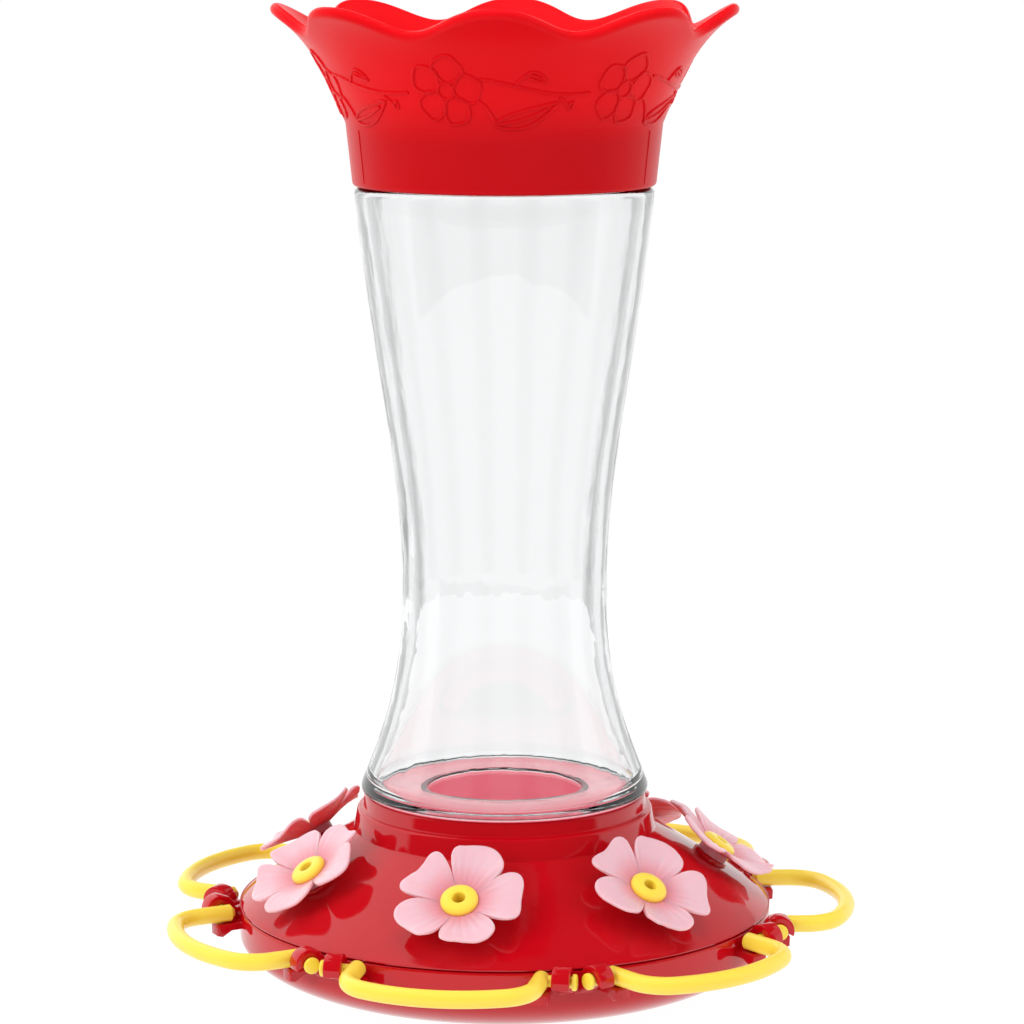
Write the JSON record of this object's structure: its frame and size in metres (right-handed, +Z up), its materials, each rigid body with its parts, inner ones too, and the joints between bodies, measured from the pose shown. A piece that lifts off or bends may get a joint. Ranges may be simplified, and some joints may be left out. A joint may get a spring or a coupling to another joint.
{
  "type": "hummingbird feeder",
  "caption": "Hummingbird feeder with a waisted glass bottle, a scalloped red crown, a round red base with flower ports and clip-on perches.",
  "frame": {"origin": "centre of the flat foot, on the surface that the feeder stands on", "axes": "+Z up along the bottle, -Y towards the front as the picture shows it, +X to the right"},
  "size_m": [0.2002, 0.2022, 0.2807],
  "materials": {
    "deep_red_plastic": "glossy moulded plastic",
    "bright_red_plastic": "satin moulded plastic",
    "clear_glass": "clear pressed glass",
    "pink_plastic": "soft satin plastic",
    "yellow_plastic": "satin moulded plastic",
    "seal_rubber": "matte silicone"
  },
  "bodies": {
    "bowl": {"bowl": "deep_red_plastic", "base_seal": "seal_rubber"},
    "cover": {"cover": "deep_red_plastic", "bottle_gasket": "seal_rubber", "flower_1": "pink_plastic", "flower_2": "pink_plastic", "flower_3": "pink_plastic", "flower_4": "pink_plastic", "flower_5": "pink_plastic", "flower_6": "pink_plastic", "flower_7": "pink_plastic", "port_1": "yellow_plastic", "port_2": "yellow_plastic", "port_3": "yellow_plastic", "port_4": "yellow_plastic", "port_5": "yellow_plastic", "port_6": "yellow_plastic", "port_7": "yellow_plastic"},
    "bottle": {"bottle": "clear_glass", "bottle_neck": "clear_glass", "bottle_stub": "clear_glass"},
    "crown": {"crown": "bright_red_plastic", "crown_gasket": "seal_rubber"},
    "perch_1": {"perch_1": "yellow_plastic"},
    "perch_2": {"perch_2": "yellow_plastic"},
    "perch_3": {"perch_3": "yellow_plastic"},
    "perch_4": {"perch_4": "yellow_plastic"},
    "perch_5": {"perch_5": "yellow_plastic"},
    "perch_6": {"perch_6": "yellow_plastic"},
    "perch_7": {"perch_7": "yellow_plastic"}
  },
  "joints": [
    {"name": "cover_turn", "type": "hinge", "parent": "bowl", "child": "cover", "pos_m": [0, 0, 0.0208], "axis": [0, 0, 1], "range_deg": [0, 30]},
    {"name": "bottle_screw", "type": "hinge", "parent": "cover", "child": "bottle", "pos_m": [0, 0, 0.047], "axis": [0, 0, 1], "range_deg": [0, 360]},
    {"name": "crown_screw", "type": "hinge", "parent": "bottle", "child": "crown", "pos_m": [0, 0, 0.235], "axis": [0, 0, 1], "range_deg": [0, 360]},
    {"name": "perch_1_hinge", "type": "hinge", "parent": "bowl", "child": "perch_1", "pos_m": [-0.01532, -0.07597, 0.0196], "axis": [-0.9803, 0.1977, 0], "range_deg": [0, 70]},
    {"name": "perch_2_hinge", "type": "hinge", "parent": "bowl", "child": "perch_2", "pos_m": [0.04985, -0.05934, 0.0196], "axis": [-0.7657, -0.6432, 0], "range_deg": [0, 70]},
    {"name": "perch_3_hinge", "type": "hinge", "parent": "bowl", "child": "perch_3", "pos_m": [0.07748, 0.00197, 0.0196], "axis": [0.0254, -0.9997, 0], "range_deg": [0, 70]},
    {"name": "perch_4_hinge", "type": "hinge", "parent": "bowl", "child": "perch_4", "pos_m": [0.04676, 0.0618, 0.0196], "axis": [0.7974, -0.6034, 0], "range_deg": [0, 70]},
    {"name": "perch_5_hinge", "type": "hinge", "parent": "bowl", "child": "perch_5", "pos_m": [-0.01916, 0.07509, 0.0196], "axis": [0.969, 0.2472, 0], "range_deg": [0, 70]},
    {"name": "perch_6_hinge", "type": "hinge", "parent": "bowl", "child": "perch_6", "pos_m": [-0.07066, 0.03184, 0.0196], "axis": [0.4108, 0.9117, 0], "range_deg": [0, 70]},
    {"name": "perch_7_hinge", "type": "hinge", "parent": "bowl", "child": "perch_7", "pos_m": [-0.06895, -0.03539, 0.0196], "axis": [-0.4567, 0.8896, 0], "range_deg": [0, 70]}
  ]
}
